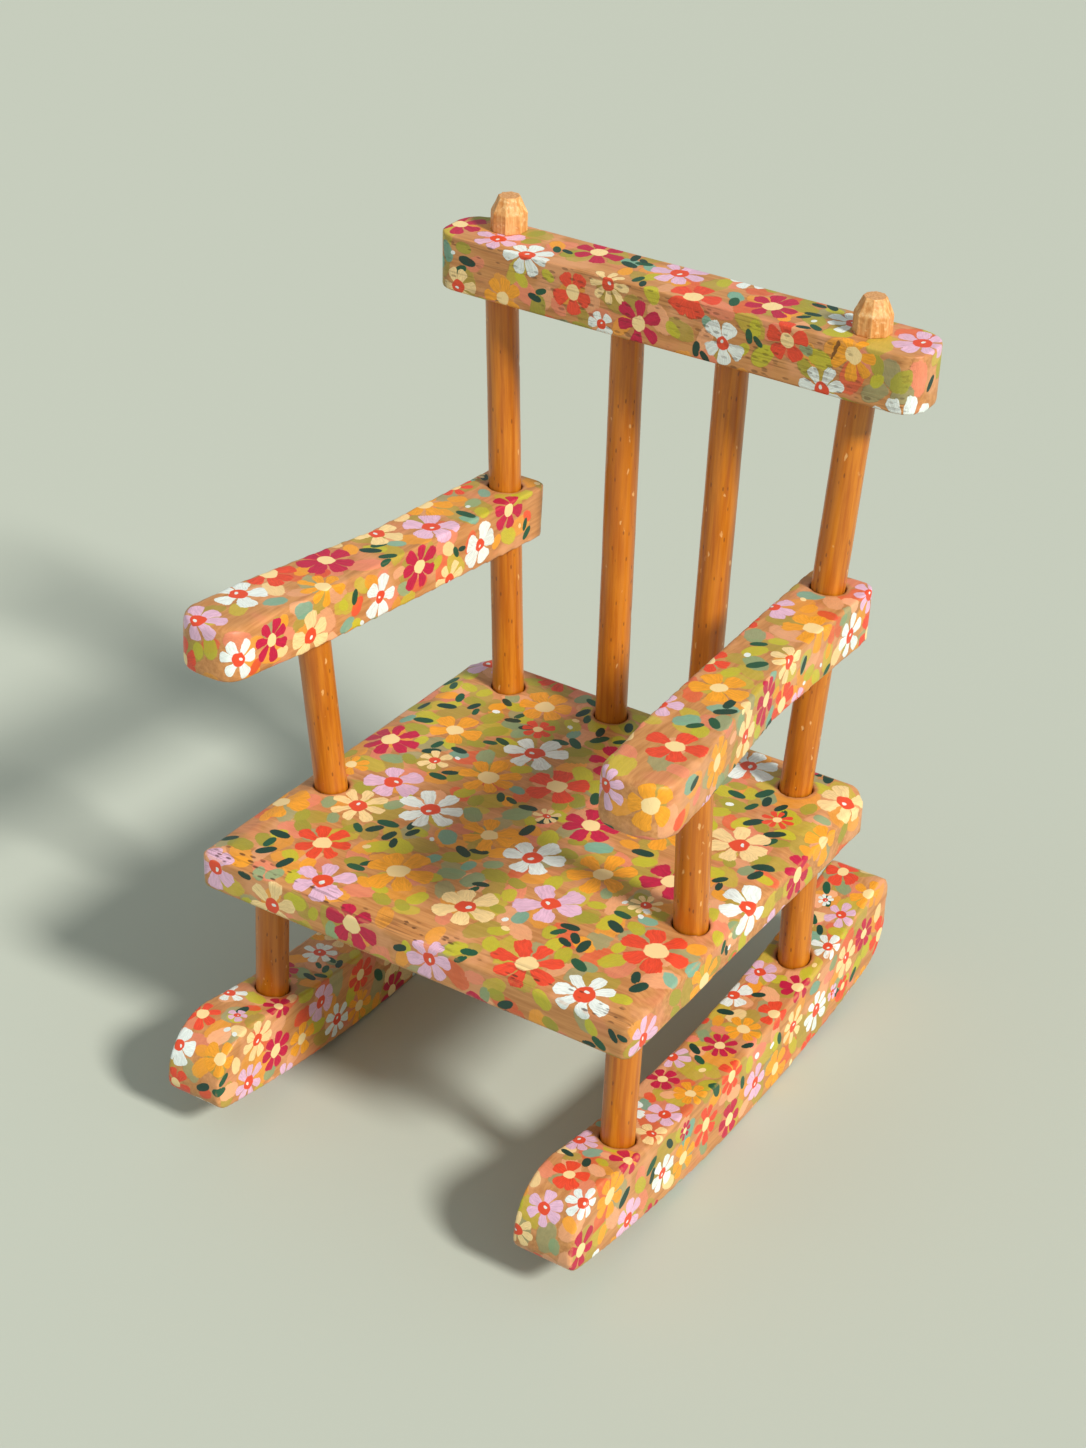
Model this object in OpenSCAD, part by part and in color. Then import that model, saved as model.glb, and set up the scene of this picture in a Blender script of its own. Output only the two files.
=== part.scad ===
/* [Seat board] */
// Width of the seat across its front edge
seat_front_w = 108.4; // [104:0.2:114]
// Width of the seat across its back edge
seat_back_w = 106.4; // [102:0.2:112]
// Depth of the seat from front edge to back edge
seat_depth = 105; // [103.5:0.5:112]
// Thickness of the seat board
seat_t = 9.5; // [8:0.5:12]
// Width of the planed bevel along the front and side top edges
seat_bevel_w = 4.6; // [2:0.1:5.5]
// Height lost at the outer edge of that bevel
seat_bevel_drop = 1.4; // [0.5:0.1:3]
// Size of the clipped back corners
seat_clip = 3.4; // [1:0.1:6]
// Radius of the rounded front corners
seat_corner_r = 2; // [1:0.5:6]

/* [Dowels] */
// Diameter of every leg, post and spindle
dowel_d = 7.5; // [6:0.1:8.4]
// Radial gap between a dowel and its drilled socket
socket_gap = 0.05; // [0.02:0.01:0.1]
// Depth that dowels sink into the seat board
seat_sink = 6; // [3:0.5:6.5]
// Depth that legs sink into the rockers
rocker_sink = 8; // [4:0.5:10]
// Depth that arm posts sink into the armrests
arm_sink = 7; // [3:0.5:9]
// Depth that posts and spindles sink into the crest rail
rail_sink = 6.5; // [3:0.5:7]

/* [Back] */
// Distance of each back post from the middle, at the seat
post_foot_x = 38.8; // [37:0.1:40]
// Distance of each back post from the middle, at the crest rail
post_head_x = 44.4; // [42:0.1:47]
// Distance of the back posts from the seat's front edge, at the seat
post_foot_y = 96.1; // [94.5:0.1:97.5]
// Distance of the back posts from the seat's front edge, at the crest rail
post_head_y = 98.5; // [97.5:0.1:99.5]
// Distance of each inner spindle from the middle, at the seat
spindle_foot_x = 11.9; // [10:0.1:16]
// Distance of each inner spindle from the middle, at the crest rail
spindle_head_x = 13.1; // [10:0.1:18]
// Distance of the spindles from the seat's front edge, at the seat
spindle_foot_y = 99; // [96:0.1:99.5]
// Distance of the spindles from the seat's front edge, at the crest rail
spindle_head_y = 100.9; // [99:0.1:101]

/* [Crest rail] */
// Length of the crest rail
rail_l = 118; // [112:0.5:124]
// Depth of the crest rail from front to back
rail_d = 15.4; // [15.2:0.1:18]
// Height of the crest rail
rail_h = 12.8; // [12.5:0.1:16]
// Height of the rail's underside above the seat
rail_z = 98.3; // [90:0.1:106]
// Distance of the rail's front face from the seat's front edge
rail_front_y = 90.4; // [88.5:0.1:91]
// Distance that the rail sits to the right of the middle
rail_shift = 1.8; // [0:0.1:3]
// Radius of the rail's rounded ends at the front
rail_front_r = 5; // [2:0.5:7]
// Radius of the rail's rounded ends at the back
rail_back_r = 7; // [2:0.5:8]

/* [Finials] */
// Width of a finial across the flats of its whittled base
finial_w = 7.7; // [7:0.1:9]
// Width of a finial's top
finial_top_w = 4.6; // [3:0.1:6]
// Height of the straight base of a finial
finial_base_h = 4.2; // [3:0.1:6]
// Height of the tapered part of a finial
finial_taper_h = 3.6; // [2:0.1:5]
// Diameter of the tenon under a finial
finial_tenon_d = 5; // [4:0.1:6]
// Depth of that tenon in the crest rail
finial_tenon_l = 5; // [3:0.5:5]
// Distance of the left finial from the middle
finial_left_x = 44.8; // [44:0.1:47]
// Distance of the left finial from the seat's front edge
finial_left_y = 101.4; // [97:0.1:101.5]
// Distance of the right finial from the middle
finial_right_x = 46; // [44:0.1:47]
// Distance of the right finial from the seat's front edge
finial_right_y = 98.2; // [97:0.1:101.5]

/* [Armrests] */
// Thickness of the armrests
arm_t = 12.6; // [11:0.1:15]
// Height of an armrest's underside above the seat, at the back post
arm_z = 38.8; // [34:0.1:44]
// Angle at which the armrests rise towards the front
arm_rise = 2.6; // [0:0.1:5]
// Distance of the armrests' back ends from the seat's front edge
arm_back_y = 104.5; // [103:0.5:107]
// Distance that the armrests reach past the seat's front edge
arm_overhang = 0.5; // [0:0.5:8]
// Distance of an armrest's nose from the middle, measured to its inner side
arm_nose_in = 43.2; // [42:0.1:43.5]
// Distance of an armrest's nose from the middle, measured to its outer side
arm_nose_out = 60.6; // [58:0.1:64]
// Distance of an armrest's waist from the middle, measured to its inner side
arm_waist_in = 38; // [37:0.1:38.5]
// Distance of an armrest's waist from the middle, measured to its outer side
arm_waist_out = 51.2; // [51:0.1:55]
// Distance of an armrest's back end from the middle, measured to its inner side
arm_back_in = 34.4; // [33:0.1:35.5]
// Distance of an armrest's back end from the middle, measured to its outer side
arm_back_out = 49.7; // [49:0.1:53]
// Distance of the narrow waist from the seat's front edge
arm_waist_y = 58; // [50:1:70]
// Radius of the outer corner of an armrest's nose
arm_nose_r = 6.5; // [3:0.5:7]
// Radius of the inner corner of an armrest's nose
arm_nose_in_r = 5; // [3:0.5:7]
// Radius of the corners at an armrest's back end
arm_back_r = 3.5; // [1:0.5:5]
// Distance of each arm post from the middle, at the seat
arm_post_foot_x = 46.5; // [45:0.1:47.5]
// Distance of each arm post from the middle, at the armrest
arm_post_head_x = 47.7; // [46.5:0.1:48.5]
// Distance of the arm posts from the seat's front edge, at the seat
arm_post_foot_y = 36.7; // [33:0.1:40]
// Distance of the arm posts from the seat's front edge, at the armrest
arm_post_head_y = 32.4; // [29:0.1:36]

/* [Legs and rockers] */
// Distance of every leg from the middle
leg_x = 45.5; // [44:0.1:46.5]
// Distance of the front legs from the seat's front edge, at the seat
front_leg_y = 13.8; // [12:0.1:18]
// Distance of the front legs from the seat's front edge, at the rockers
front_foot_y = 12.7; // [10:0.1:18]
// Distance of the back legs from the seat's front edge
back_leg_y = 88.8; // [86:0.1:89.5]
// Thickness of a rocker from its inner side to its outer side
rocker_w = 14; // [13:0.5:18]
// Depth of the rocker's lowest point below the seat's top
rocker_low = 62; // [60:0.5:66]
// Depth of the middle of the rocker's hollow top below the seat's top
rocker_hollow = 43.2; // [40:0.1:45]
// Radius of the curved sole that the chair rocks on
sole_r = 300; // [260:5:400]
// Radius of the hollow top edge of a rocker
hollow_r = 240; // [200:5:300]
// Distance of the middle of the sole's curve from the seat's front edge
sole_y = 51; // [46:0.5:56]
// Distance of the middle of the hollow top from the seat's front edge
hollow_y = 45; // [42:0.5:50]
// Distance that the rockers reach past the seat's front edge
rocker_front = 16; // [12:0.5:20]
// Distance of the rockers' back ends from the seat's front edge
rocker_back = 122; // [118:0.5:128]
// Radius of the high shoulder at a rocker's front end
shoulder_r = 12; // [8:0.5:13]
// Radius of the low corner at a rocker's front end
toe_r = 4; // [2:0.5:5]
// Radius of the high corner at a rocker's back end
tail_r = 4; // [2:0.5:6]
// Radius of the low corner at a rocker's back end
heel_r = 11; // [6:0.5:12]

/* [Resting position] */
// Angle at which the whole chair rolls back on its rockers when it is left alone
lean = 2.14; // [0:0.01:4]

/* [Hidden] */

LEFT = -1;
RIGHT = 1;
painted = "tan";
varnished = "peru";
bare_wood = "burlywood";
socket_d = dowel_d + 2 * socket_gap;
finial_socket_d = finial_tenon_d + 2 * socket_gap;
rail_top = rail_z + rail_h;
rail_mid_y = rail_front_y + rail_d / 2;
// Smoothness of small arcs and of the long curves of a rocker
fine = 64;
long_curve = 480;
// Radius that eases the corners of the seat's clipped back
clip_r = 1;
// Length by which a cutting shape reaches past what it cuts
spare = 5;
// Length of the drill that cuts a blind socket
drill_l = 16;
// Extra radius of a corner arc, so that it crosses its straight neighbours and doesn't just touch them
arc_swell = 0.01;

// Point at height z on the line from a to b
function at_z(a, b, z) = a + (b - a) * (z - a.z) / (b.z - a.z);
// Unit vector pointing inwards from the edge a to b of an outline drawn anticlockwise
function inward(a, b) = [a.y - b.y, b.x - a.x] / norm(b - a);
// Centre of the arc of radius r that rounds the corner b between a and c
function corner_centre(a, b, c, r) =
    let (n = inward(a, b), m = inward(b, c))
    b + r * (n + m) / (1 + n * m);

// Ends of each dowel: the end in the board below it, and the end in the board above it
function leg_ends(side, seat_y, rocker_y) =
    let (
        head = [side * leg_x, seat_y, -seat_t],
        foot = [side * leg_x, rocker_y, -hollow_at(rocker_y)]
    )
    [at_z(head, foot, foot.z - rocker_sink), at_z(head, foot, head.z + seat_sink)];
function arm_post_ends(side) =
    let (
        foot = [side * arm_post_foot_x, arm_post_foot_y, 0],
        head = [side * arm_post_head_x, arm_post_head_y, arm_under_at(arm_post_head_y)]
    )
    [at_z(foot, head, -seat_sink), at_z(foot, head, head.z + arm_sink)];
function back_post_ends(side) =
    let (
        foot = [side * post_foot_x, post_foot_y, 0],
        head = [side * post_head_x, post_head_y, rail_z]
    )
    [at_z(foot, head, -seat_sink), at_z(foot, head, rail_z + rail_sink)];
function spindle_ends(side) =
    let (
        foot = [side * spindle_foot_x, spindle_foot_y, 0],
        head = [side * spindle_head_x, spindle_head_y, rail_z]
    )
    [at_z(foot, head, -seat_sink), at_z(foot, head, rail_z + rail_sink)];
function front_leg_ends(side) = leg_ends(side, front_leg_y, front_foot_y);
function back_leg_ends(side) = leg_ends(side, back_leg_y, back_leg_y);

// Depth of a rocker's hollow top below the seat's top, at distance y from the seat's front edge
function hollow_at(y) = rocker_hollow - hollow_r + sqrt(pow(hollow_r, 2) - pow(y - hollow_y, 2));
// Height of an armrest's underside at distance y from the seat's front edge
function arm_under_at(y) = arm_z + (post_foot_y - y) * tan(arm_rise);

// Outline of the right armrest seen from above, anticlockwise from its nose
arm_outline = [
    [arm_nose_in, -arm_overhang],
    [arm_nose_out, -arm_overhang],
    [arm_waist_out, arm_waist_y],
    [arm_back_out, arm_back_y],
    [arm_back_in, arm_back_y],
    [arm_waist_in, arm_waist_y]
];
arm_radii = [arm_nose_in_r, arm_nose_r, 0, arm_back_r, arm_back_r, 0];

// Centres of a rocker's arcs, as distance from the seat's front edge and height
sole_centre = [sole_y, sole_r - rocker_low];
hollow_centre = [hollow_y, hollow_r - rocker_hollow];
// Height of the centre of a corner arc that touches the hollow top or the sole from within
function under_hollow(y, r) = hollow_centre.y - sqrt(pow(hollow_r + r, 2) - pow(y - hollow_y, 2));
function above_sole(y, r) = sole_centre.y - sqrt(pow(sole_r - r, 2) - pow(y - sole_y, 2));
shoulder_y = shoulder_r - rocker_front;
toe_y = toe_r - rocker_front;
tail_y = rocker_back - tail_r;
heel_y = rocker_back - heel_r;
shoulder_centre = [shoulder_y, under_hollow(shoulder_y, shoulder_r)];
toe_centre = [toe_y, above_sole(toe_y, toe_r)];
tail_centre = [tail_y, under_hollow(tail_y, tail_r)];
heel_centre = [heel_y, above_sole(heel_y, heel_r)];

// The origin lies on the floor under the middle of the chair's box
arm_reach = corner_centre(arm_outline[0], arm_outline[1], arm_outline[2], arm_nose_r).x + arm_nose_r;
rail_reach = rail_shift + rail_l / 2;
origin_x = (max(arm_reach, rail_reach) - arm_reach) / 2;
function leaned(p) = [p.x * cos(lean) + p.y * sin(lean), p.y * cos(lean) - p.x * sin(lean)];
front_reach = min(leaned(toe_centre).x - toe_r, leaned(shoulder_centre).x - shoulder_r);
back_reach = max(leaned(heel_centre).x + heel_r, leaned(tail_centre).x + tail_r);
origin_y = (front_reach + back_reach) / 2;
floor_z = leaned(sole_centre).y - sole_r;

// Rolls a shape back on the rockers and stands it on the floor. Shapes are drawn with the
// seat's top level at height 0 and the middle of its front edge at the origin.
module stand() {
    translate([-origin_x, -origin_y, -floor_z]) rotate([-lean, 0, 0]) children();
}

// A straight round bar between two points
module bar(ends, d) {
    v = ends[1] - ends[0];
    translate(ends[0])
        rotate([-asin(v.y / norm(v)), atan2(v.x, v.z), 0])
            cylinder(h = norm(v), d = d, $fn = fine);
}

module dowel(ends) {
    color(varnished) stand() bar(ends, dowel_d);
}

// Hole for the first of a dowel's two ends, drilled from the open side of the board
module socket(ends) {
    v = ends[1] - ends[0];
    bar([ends[0], ends[0] + v / norm(v) * drill_l], socket_d);
}

// Hole for the second of a dowel's two ends
module head_socket(ends) {
    socket([ends[1], ends[0]]);
}

// An outline, drawn anticlockwise, with each corner rounded to its own radius
module soft_outline(points, radii) {
    count = len(points);
    before = [for (i = [0:count - 1]) points[(i + count - 1) % count]];
    after = [for (i = [0:count - 1]) points[(i + 1) % count]];
    centres = [for (i = [0:count - 1]) corner_centre(before[i], points[i], after[i], radii[i])];
    polygon([for (i = [0:count - 1]) each [
        centres[i] - radii[i] * inward(before[i], points[i]),
        centres[i] - radii[i] * inward(points[i], after[i])
    ]]);
    for (i = [0:count - 1])
        if (radii[i] > 0) translate(centres[i]) circle(r = radii[i] + arc_swell, $fn = fine);
}

// Wedge that planes a bevel along the top edge from a to b, with the board on the left
module bevel_cut(a, b) {
    slope = seat_bevel_drop / seat_bevel_w;
    translate(a)
        rotate([0, 0, atan2(b.y - a.y, b.x - a.x)])
            translate([-spare, 0, 0])
                rotate([90, 0, 90])
                    linear_extrude(norm(b - a) + 2 * spare)
                        polygon([
                            [-spare, -(spare + seat_bevel_w) * slope],
                            [seat_bevel_w + spare, spare * slope],
                            [-spare, spare * slope]
                        ]);
}

module seat() {
    front_x = seat_front_w / 2;
    back_x = seat_back_w / 2;
    outline = [
        [-front_x, 0],
        [front_x, 0],
        [back_x, seat_depth - seat_clip],
        [back_x - seat_clip, seat_depth],
        [-back_x + seat_clip, seat_depth],
        [-back_x, seat_depth - seat_clip]
    ];
    color(painted) stand() difference() {
        translate([0, 0, -seat_t])
            linear_extrude(seat_t)
                soft_outline(outline, [seat_corner_r, seat_corner_r, clip_r, clip_r, clip_r, clip_r]);
        for (i = [0, 1, 5]) bevel_cut(outline[i], outline[(i + 1) % 6]);
        for (side = [LEFT, RIGHT]) {
            head_socket(front_leg_ends(side));
            head_socket(back_leg_ends(side));
            socket(arm_post_ends(side));
            socket(back_post_ends(side));
            socket(spindle_ends(side));
        }
    }
}

// Waste outside a corner arc, between the directions at angles from and to
module corner_waste(centre, r, from, to) {
    reach = 3 * r;
    middle = (from + to) / 2;
    translate(centre) difference() {
        polygon([
            [0, 0],
            reach * [cos(from), sin(from)],
            2 * reach * [cos(middle), sin(middle)],
            reach * [cos(to), sin(to)]
        ]);
        circle(r = r + arc_swell, $fn = fine);
    }
}

// Side view of a rocker: distance from the seat's front edge, and height
module rocker_profile() {
    function angle(from, to) = atan2(to.y - from.y, to.x - from.x);
    difference() {
        intersection() {
            translate(sole_centre) circle(r = sole_r, $fn = long_curve);
            translate([-rocker_front, -rocker_low])
                square([rocker_front + rocker_back, rocker_low - spare]);
        }
        translate(hollow_centre) circle(r = hollow_r, $fn = long_curve);
        corner_waste(shoulder_centre, shoulder_r, angle(shoulder_centre, hollow_centre), 180);
        corner_waste(toe_centre, toe_r, 180, 360 + angle(sole_centre, toe_centre));
        corner_waste(heel_centre, heel_r, angle(sole_centre, heel_centre), 0);
        corner_waste(tail_centre, tail_r, 0, angle(tail_centre, hollow_centre));
    }
}

module rocker(side) {
    color(painted) stand() difference() {
        translate([side * leg_x - rocker_w / 2, 0, 0])
            rotate([90, 0, 90])
                linear_extrude(rocker_w) rocker_profile();
        socket(front_leg_ends(side));
        socket(back_leg_ends(side));
    }
}

module right_armrest() {
    difference() {
        translate([0, post_foot_y, arm_z])
            rotate([-arm_rise, 0, 0])
                translate([0, -post_foot_y, 0])
                    linear_extrude(arm_t) soft_outline(arm_outline, arm_radii);
        head_socket(arm_post_ends(RIGHT));
        bar(back_post_ends(RIGHT), socket_d);
    }
}

module armrest(side) {
    color(painted) stand() mirror([side == LEFT ? 1 : 0, 0, 0]) right_armrest();
}

// Middle of a finial's base on the crest rail
function finial_foot(side) = side == LEFT
    ? [-finial_left_x, finial_left_y, rail_top]
    : [finial_right_x, finial_right_y, rail_top];

module crest_rail() {
    left = rail_shift - rail_l / 2;
    right = rail_shift + rail_l / 2;
    outline = [
        [left, rail_front_y],
        [right, rail_front_y],
        [right, rail_front_y + rail_d],
        [left, rail_front_y + rail_d]
    ];
    color(painted) stand() difference() {
        translate([0, 0, rail_z])
            linear_extrude(rail_h)
                soft_outline(outline, [rail_front_r, rail_front_r, rail_back_r, rail_back_r]);
        for (side = [LEFT, RIGHT]) {
            head_socket(back_post_ends(side));
            head_socket(spindle_ends(side));
            translate(finial_foot(side) - [0, 0, finial_tenon_l])
                cylinder(h = finial_tenon_l + spare, d = finial_socket_d, $fn = fine);
        }
    }
}

// A peg with an eight-sided base, whittled to a smaller flat top
module finial(side) {
    taper = atan((finial_w - finial_top_w) / 2 / finial_taper_h);
    facets = 8;
    turn = 360 / facets;
    color(bare_wood) stand() translate(finial_foot(side)) {
        difference() {
            rotate([0, 0, turn / 2])
                cylinder(h = finial_base_h + finial_taper_h, d = finial_w / cos(turn / 2), $fn = facets);
            for (i = [0:facets - 1])
                rotate([0, 0, i * turn])
                    translate([finial_w / 2, -finial_w, finial_base_h])
                        rotate([0, -taper, 0])
                            cube([finial_w, 2 * finial_w, 2 * finial_taper_h]);
        }
        translate([0, 0, -finial_tenon_l])
            cylinder(h = finial_tenon_l, d = finial_tenon_d, $fn = fine);
    }
}

seat();
rocker(LEFT);  // rocker_left
rocker(RIGHT);  // rocker_right
dowel(front_leg_ends(LEFT));  // front_leg_left
dowel(front_leg_ends(RIGHT));  // front_leg_right
dowel(back_leg_ends(LEFT));  // back_leg_left
dowel(back_leg_ends(RIGHT));  // back_leg_right
dowel(arm_post_ends(LEFT));  // arm_post_left
dowel(arm_post_ends(RIGHT));  // arm_post_right
armrest(LEFT);  // armrest_left
armrest(RIGHT);  // armrest_right
dowel(back_post_ends(LEFT));  // back_post_left
dowel(back_post_ends(RIGHT));  // back_post_right
dowel(spindle_ends(LEFT));  // back_spindle_left
dowel(spindle_ends(RIGHT));  // back_spindle_right
crest_rail();
finial(LEFT);  // finial_left
finial(RIGHT);  // finial_right
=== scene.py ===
"""Looks of the miniature rocking chair: hand-painted boards, varnished dowels and whittled finials."""

import math

import bmesh
import bpy
import numpy as np
from mathutils import Matrix, Vector, noise
from mathutils.bvhtree import BVHTree


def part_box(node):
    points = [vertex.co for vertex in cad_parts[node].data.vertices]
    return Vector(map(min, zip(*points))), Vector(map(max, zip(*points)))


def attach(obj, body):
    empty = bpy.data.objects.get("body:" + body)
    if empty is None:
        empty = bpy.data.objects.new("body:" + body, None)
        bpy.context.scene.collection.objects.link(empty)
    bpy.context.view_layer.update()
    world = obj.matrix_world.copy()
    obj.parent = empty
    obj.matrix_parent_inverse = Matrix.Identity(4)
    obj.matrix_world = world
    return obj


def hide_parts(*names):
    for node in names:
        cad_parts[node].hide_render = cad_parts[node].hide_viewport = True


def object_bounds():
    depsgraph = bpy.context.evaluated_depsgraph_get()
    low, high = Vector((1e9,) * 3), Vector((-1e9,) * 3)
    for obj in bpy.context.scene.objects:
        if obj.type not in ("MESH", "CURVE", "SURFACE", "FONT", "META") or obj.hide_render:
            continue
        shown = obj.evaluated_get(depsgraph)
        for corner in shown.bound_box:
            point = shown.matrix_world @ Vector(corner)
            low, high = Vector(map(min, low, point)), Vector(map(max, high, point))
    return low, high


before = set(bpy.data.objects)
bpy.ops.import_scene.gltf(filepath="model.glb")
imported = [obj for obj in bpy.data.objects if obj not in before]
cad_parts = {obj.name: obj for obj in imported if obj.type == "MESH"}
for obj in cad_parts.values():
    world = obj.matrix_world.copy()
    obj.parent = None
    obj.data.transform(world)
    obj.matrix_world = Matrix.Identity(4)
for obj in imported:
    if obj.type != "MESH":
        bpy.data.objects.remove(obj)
cad_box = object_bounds()

MM = 0.001
SIDES = ("left", "right")
LEGS = [f"{place}_leg_{side}" for place in ("front", "back") for side in SIDES]
ARM_POSTS = [f"arm_post_{side}" for side in SIDES]
BACK_POSTS = [f"back_post_{side}" for side in SIDES]
SPINDLES = [f"back_spindle_{side}" for side in SIDES]
DOWELS = LEGS + ARM_POSTS + BACK_POSTS + SPINDLES

FAR_OFF = 9.0           # a mark's flat coordinates on faces that it doesn't reach
REACH = 1.15            # how far a mark's picture may reach, in its own size
SLOPED = (0.25, 0.93)   # how level a face is where a board's edge is rounded, which marks avoid
SIDE_SHARE = 0.84       # size of the marks on a board's narrow sides, against those on its flat faces
TURNED_AWAY = -0.35     # how far a face may turn away from a mark's own face and still carry some of it
HALF_WAY = 0.5          # how far a round of smoothing draws a point towards its neighbours


# ---------------------------------------------------------------- mesh helpers

def coordinates(mesh):
    """A mesh's vertices as rows of x, y and z."""
    co = np.empty(len(mesh.vertices) * 3, np.float32)
    mesh.vertices.foreach_get("co", co)
    return co.reshape(-1, 3).astype(float)


def put_coordinates(mesh, co):
    """Moves a mesh's vertices to the places given."""
    mesh.vertices.foreach_set("co", co.astype(np.float32).ravel())
    mesh.update()


def normals_of(mesh):
    """The direction outwards at each vertex."""
    n = np.empty(len(mesh.vertices) * 3, np.float32)
    mesh.vertex_normals.foreach_get("vector", n)
    return n.reshape(-1, 3).astype(float)


def edges_of(mesh):
    """The two vertices of each edge."""
    e = np.empty(len(mesh.edges) * 2, np.int32)
    mesh.edges.foreach_get("vertices", e)
    return e.reshape(-1, 2)


def step_up(x, low, high):
    """0 below low, 1 above high and a smooth rise between them."""
    t = np.clip((x - low) / (high - low), 0, 1)
    return t * t * (3 - 2 * t)


def smoothed(co, edges, rounds, weight=HALF_WAY):
    """Points drawn towards their neighbours, which rounds the edges and leaves flat faces flat."""
    a, b = edges.T
    count = np.bincount(edges.ravel(), minlength=len(co))
    weight = np.broadcast_to(weight, len(co))
    for _ in range(rounds):
        moved = co.copy()
        for k in range(3):
            total = np.bincount(a, co[b, k], len(co)) + np.bincount(b, co[a, k], len(co))
            moved[:, k] += weight * (total / count - co[:, k])
        co = moved
    return co


def waves(co, size, seed):
    """A smooth random value for each point, about -1 to 1, with bumps of the given size."""
    shift = Vector((seed * 7.3, seed * 3.1, seed * 5.7))
    return np.array([noise.noise(Vector(p) / size + shift) for p in co])


def note(mesh, name, values):
    """Writes one number for each vertex."""
    layer = mesh.attributes.new(name, "FLOAT", "POINT")
    layer.data.foreach_set("value", values.astype(np.float32))


def new_object(name, mesh):
    piece = bpy.data.objects.new(name, mesh)
    bpy.context.scene.collection.objects.link(piece)
    return piece


def smooth_shade(mesh):
    mesh.polygons.foreach_set("use_smooth", np.ones(len(mesh.polygons), bool))


def even_mesh(node, name, voxel):
    """A new piece with the shape of a CAD node, made of small even quads that can be worn and painted."""
    source = bmesh.new()
    source.from_mesh(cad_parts[node].data)
    bmesh.ops.remove_doubles(source, verts=source.verts, dist=1e-6)
    mesh = bpy.data.meshes.new(name)
    source.to_mesh(mesh)
    source.free()
    piece = new_object(name, mesh)
    grid = piece.modifiers.new("even", "REMESH")
    grid.mode = "VOXEL"
    grid.voxel_size = voxel
    done = piece.evaluated_get(bpy.context.evaluated_depsgraph_get())
    piece.data = bpy.data.meshes.new_from_object(done)
    piece.modifiers.clear()
    piece.data.materials.clear()
    piece.data.name = name
    smooth_shade(piece.data)
    return piece


def centre_line(node):
    """The two ends of a round CAD node's centre line, the lower end first."""
    co = np.unique(coordinates(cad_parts[node].data).round(6), axis=0)
    direction = np.linalg.svd(co - co.mean(0))[2][0]
    direction *= np.sign(direction[2])
    along = co @ direction
    low = co[along < along.min() + MM].mean(0)
    high = co[along > along.max() - MM].mean(0)
    return low, high


LINES = {node: centre_line(node) for node in DOWELS}


def from_line(co, node):
    """How far points lie from a dowel's centre line, how far along it, and the vectors outwards from it."""
    low, high = LINES[node]
    direction = (high - low) / np.linalg.norm(high - low)
    along = (co - low) @ direction
    out = co - low - np.outer(along, direction)
    return np.linalg.norm(out, axis=1), along, out


def dowel_radius():
    """The radius that all dowels share, measured on the first."""
    co = coordinates(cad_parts[DOWELS[0]].data)
    return float(from_line(co, DOWELS[0])[0].max())


DOWEL_R = dowel_radius()


def open_holes(co, dowels):
    """Holes drilled a little wide and softened by wear, so that a thin dark gap shows round each dowel."""
    play, unevenness = 0.2 * MM, 0.08 * MM
    for node in dowels:
        near = np.flatnonzero(from_line(co, node)[0] < DOWEL_R + MM)
        gap, along, out = from_line(co[near], node)
        length = np.linalg.norm(LINES[node][1] - LINES[node][0])
        hole = DOWEL_R + play + unevenness * waves(co[near], 5 * MM, len(node))
        inside = np.minimum(along, length - along)
        share = step_up(inside, 0.3 * MM, 1.6 * MM) * (gap < hole)
        grow = share * (hole / np.maximum(gap, 0.1 * MM) - 1)
        co[near] += out * grow[:, None]
    return co


def hole_distance(co, dowels):
    """How far each point lies outside the nearest dowel, in metres."""
    far = np.full(len(co), 1.0)
    for node in dowels:
        gap, along, _ = from_line(co, node)
        length = np.linalg.norm(LINES[node][1] - LINES[node][0])
        beyond = np.maximum(np.maximum(-along, along - length), 0)
        far = np.minimum(far, np.hypot(gap - DOWEL_R, beyond))
    return far


# ---------------------------------------------------------------- painted decoration

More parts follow.
